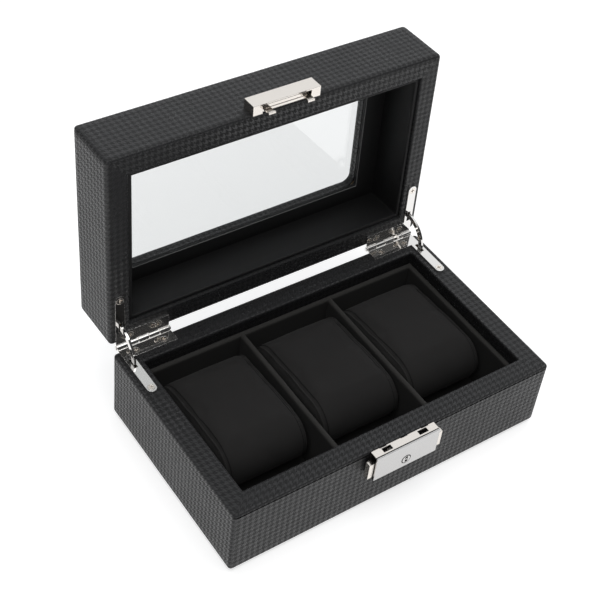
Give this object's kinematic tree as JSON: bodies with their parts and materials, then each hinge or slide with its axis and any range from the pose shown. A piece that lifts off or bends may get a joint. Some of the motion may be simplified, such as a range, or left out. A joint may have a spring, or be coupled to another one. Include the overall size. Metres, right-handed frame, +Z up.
{
  "type": "watch box",
  "caption": "Leather-covered watch box: velvet tray with divided cushion compartments, glazed hinged lid on curved stays, and a two-button box lock on the front.",
  "frame": {"origin": "middle of the base's underside, on the surface the box rests on", "axes": "+X towards the box's right side as seen from the front, -Y towards the front with the lock, +Z up"},
  "size_m": [0.2, 0.1675, 0.1737],
  "materials": {
    "board": "raw fibreboard, hidden under the leather",
    "embossed_leather": "black leatherette embossed with a fine houndstooth, satin",
    "felt": "black felt, matte",
    "tray_velvet": "short charcoal velvet, matte",
    "lid_lining_cloth": "smooth black lining, matte",
    "cushion_velvet": "short black velvet, matte with a soft sheen",
    "foam": "soft open foam, hidden in the cover",
    "window_glass": "clear flat glass, 2 mm",
    "screw_steel": "nickel-plated cross-head screw",
    "nickel_warm": "warm bright nickel plate",
    "nickel_bright": "mirror-bright nickel plate",
    "mechanism_steel": "plain stamped steel inside the lock",
    "spring_steel": "bright spring wire",
    "cylinder_nickel": "nickel-plated, turned"
  },
  "bodies": {
    "base": {"base_frame": "board", "base_floor": "board", "base_cover": "embossed_leather", "underside_felt": "felt", "tray_lining": "tray_velvet", "divider_left": "tray_velvet", "divider_right": "tray_velvet", "lock_case": "nickel_warm", "lock_front": "nickel_warm", "lock_screws": "screw_steel", "spring_left": "spring_steel", "spring_right": "spring_steel", "hinge_left_base_leaf": "nickel_bright", "hinge_right_base_leaf": "nickel_bright", "hinge_left_pin": "nickel_bright", "hinge_right_pin": "nickel_bright", "hinge_screws_base": "screw_steel"},
    "lid": {"lid_frame": "board", "lid_panel": "board", "lid_cover": "embossed_leather", "window_glass": "window_glass", "lid_lining": "lid_lining_cloth", "window_mat": "lid_lining_cloth", "catch_cover": "nickel_warm", "catch_hooks": "nickel_warm", "catch_screws": "screw_steel", "hinge_left_lid_leaf": "nickel_bright", "hinge_right_lid_leaf": "nickel_bright", "hinge_screws_lid": "screw_steel"},
    "stay_left_body": {"stay_left": "nickel_bright"},
    "stay_right_body": {"stay_right": "nickel_bright"},
    "button_left_body": {"button_left": "nickel_warm", "pawl_left": "mechanism_steel"},
    "button_right_body": {"button_right": "nickel_warm", "pawl_right": "mechanism_steel"},
    "key_body": {"key_cylinder": "cylinder_nickel", "key_cam": "mechanism_steel"},
    "cushion_left": {"cushion_left_cover": "cushion_velvet", "cushion_left_foam": "foam"},
    "cushion_middle": {"cushion_middle_cover": "cushion_velvet", "cushion_middle_foam": "foam"},
    "cushion_right": {"cushion_right_cover": "cushion_velvet", "cushion_right_foam": "foam"}
  },
  "joints": [
    {"name": "lid_hinge", "type": "hinge", "parent": "base", "child": "lid", "pos_m": [0, 0.0622, 0.0458], "axis": [-1, 0, 0], "range_deg": [-92, 0]},
    {"name": "stay_left_slide", "type": "hinge", "parent": "base", "child": "stay_left_body", "pos_m": [-0.0941, 0.0622, 0.0458], "axis": [-1, 0, 0], "range_deg": [-46, 0]},
    {"name": "stay_right_slide", "type": "hinge", "parent": "base", "child": "stay_right_body", "pos_m": [0.0941, 0.0622, 0.0458], "axis": [-1, 0, 0], "range_deg": [-46, 0]},
    {"name": "button_left_press", "type": "slide", "parent": "base", "child": "button_left_body", "axis": [1, 0, 0], "range_m": [0, 0.0025], "stiffness_N_per_m": 300, "springref_m": -0.002, "deforming": ["spring_left"]},
    {"name": "button_right_press", "type": "slide", "parent": "base", "child": "button_right_body", "axis": [-1, 0, 0], "range_m": [0, 0.0025], "stiffness_N_per_m": 300, "springref_m": -0.002, "deforming": ["spring_right"]},
    {"name": "key_turn", "type": "hinge", "parent": "base", "child": "key_body", "pos_m": [0, -0.0635, 0.0333], "axis": [0, -1, 0], "range_deg": [0, 90]},
    {"name": "cushion_left_lift", "type": "slide", "parent": "base", "child": "cushion_left", "axis": [0, 0, 1], "range_m": [0, 0.045]},
    {"name": "cushion_middle_lift", "type": "slide", "parent": "base", "child": "cushion_middle", "axis": [0, 0, 1], "range_m": [0, 0.045]},
    {"name": "cushion_right_lift", "type": "slide", "parent": "base", "child": "cushion_right", "axis": [0, 0, 1], "range_m": [0, 0.045]}
  ],
  "couplings": [
    {"joint": "stay_left_slide", "follows": "lid_hinge", "ratio": 0.5},
    {"joint": "stay_right_slide", "follows": "lid_hinge", "ratio": 0.5}
  ]
}
